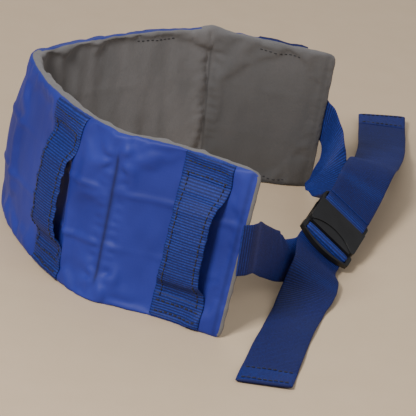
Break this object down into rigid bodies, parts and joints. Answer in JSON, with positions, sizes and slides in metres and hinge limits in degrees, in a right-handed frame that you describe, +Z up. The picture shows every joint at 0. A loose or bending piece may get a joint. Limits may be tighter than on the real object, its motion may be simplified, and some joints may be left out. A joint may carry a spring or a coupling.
{
  "type": "gait belt",
  "caption": "Padded gait belt with quilted panels, webbing handles and an adjustable side-release buckle, standing buckled as a loop.",
  "frame": {"origin": "on the floor, mid-thickness, at the middle of the fold on the belt's left side", "axes": "+Z up, +X across the loop from the fold to the buckle, -Y towards the front handles"},
  "size_m": [0.3898, 0.64, 0.1568],
  "materials": {
    "nylon_cover": "smooth woven nylon with a soft sheen",
    "velour_lining": "brushed velour",
    "foam": "soft open foam",
    "webbing": "ribbed polyester webbing",
    "black_thread": "bonded sewing thread",
    "buckle_plastic": "fine moulded texture"
  },
  "bodies": {
    "root": {"centre_cover": "nylon_cover", "centre_foam": "foam", "centre_core_strap": "webbing", "centre_lining": "velour_lining", "front_seam_thread": "black_thread", "back_seam_thread": "black_thread", "front_side_handle_upper_end": "webbing", "front_side_handle_lower_end": "webbing", "front_side_handle_stitching": "black_thread", "back_side_handle_upper_end": "webbing", "back_side_handle_lower_end": "webbing", "back_side_handle_stitching": "black_thread", "female_housing": "buckle_plastic", "back_strap": "webbing"},
    "front_wing": {"front_wing_cover": "nylon_cover", "front_wing_foam": "foam", "front_wing_core_strap": "webbing", "front_wing_lining": "velour_lining", "front_end_stitching": "black_thread", "front_end_handle_upper_end": "webbing", "front_end_handle_lower_end": "webbing", "front_end_handle_stitching": "black_thread"},
    "back_wing": {"back_wing_cover": "nylon_cover", "back_wing_foam": "foam", "back_wing_core_strap": "webbing", "back_wing_lining": "velour_lining", "back_end_stitching": "black_thread", "back_end_handle_upper_end": "webbing", "back_end_handle_lower_end": "webbing", "back_end_handle_stitching": "black_thread"},
    "male_half": {"male_frame": "buckle_plastic", "front_strap": "webbing"},
    "left_prong": {"left_prong": "buckle_plastic"},
    "right_prong": {"right_prong": "buckle_plastic"},
    "front_tail": {"front_tail": "webbing", "front_hem_stitching": "black_thread"},
    "back_tail": {"back_tail": "webbing", "back_hem_stitching": "black_thread"},
    "front_end_handle_grip": {"front_end_handle_grip": "webbing"},
    "front_side_handle_grip": {"front_side_handle_grip": "webbing"},
    "back_side_handle_grip": {"back_side_handle_grip": "webbing"},
    "back_end_handle_grip": {"back_end_handle_grip": "webbing"}
  },
  "joints": [
    {"name": "front_wing_fold", "type": "hinge", "parent": "root", "child": "front_wing", "pos_m": [0.09646, -0.17722, 0], "axis": [0.0504, 0.1638, 0.9852], "range_deg": [-12, 18], "stiffness_Nm_per_rad": 0.4},
    {"name": "back_wing_fold", "type": "hinge", "parent": "root", "child": "back_wing", "pos_m": [0.17378, 0.14064, 0], "axis": [0.0511, 0.0192, -0.9985], "range_deg": [-12, 18], "stiffness_Nm_per_rad": 0.4},
    {"name": "buckle_release", "type": "slide", "parent": "root", "child": "male_half", "axis": [-0.2799, -0.9448, -0.1702], "range_m": [0, 0.027], "deforming": ["left_prong", "right_prong"]},
    {"name": "left_prong_squeeze", "type": "hinge", "parent": "male_half", "child": "left_prong", "pos_m": [0.2942, -0.01773, 0.03805], "axis": [-0.5146, 0.2973, -0.8042], "range_deg": [0, 14], "stiffness_Nm_per_rad": 0.3},
    {"name": "right_prong_squeeze", "type": "hinge", "parent": "male_half", "child": "right_prong", "pos_m": [0.32062, -0.02222, 0.01948], "axis": [0.5146, -0.2973, 0.8042], "range_deg": [0, 14], "stiffness_Nm_per_rad": 0.3},
    {"name": "front_tail_feed", "type": "slide", "parent": "male_half", "child": "front_tail", "axis": [-0.17, -0.9854, 0], "range_m": [0, 0.03]},
    {"name": "back_tail_feed", "type": "slide", "parent": "root", "child": "back_tail", "axis": [0.07, 0.9827, 0.1715], "range_m": [0, 0.03]},
    {"name": "front_end_handle_swing", "type": "hinge", "parent": "front_wing", "child": "front_end_handle_grip", "pos_m": [0.17754, -0.19169, 0.078], "axis": [0.0787, 0.1243, 0.9891], "range_deg": [-15, 15], "stiffness_Nm_per_rad": 0.05},
    {"name": "front_side_handle_swing", "type": "hinge", "parent": "root", "child": "front_side_handle_grip", "pos_m": [0.05097, -0.12135, 0.078], "axis": [0.0527, 0.1236, 0.9909], "range_deg": [-15, 15], "stiffness_Nm_per_rad": 0.05},
    {"name": "back_side_handle_swing", "type": "hinge", "parent": "root", "child": "back_side_handle_grip", "pos_m": [0.11032, 0.11328, 0.078], "axis": [-0.019, -0.0021, 0.9998], "range_deg": [-15, 15], "stiffness_Nm_per_rad": 0.05},
    {"name": "back_end_handle_swing", "type": "hinge", "parent": "back_wing", "child": "back_end_handle_grip", "pos_m": [0.238, 0.1419, 0.078], "axis": [-0.0025, -0.134, 0.991], "range_deg": [-15, 15], "stiffness_Nm_per_rad": 0.05}
  ],
  "couplings": [
    {"joint": "right_prong_squeeze", "follows": "left_prong_squeeze", "ratio": 1}
  ]
}
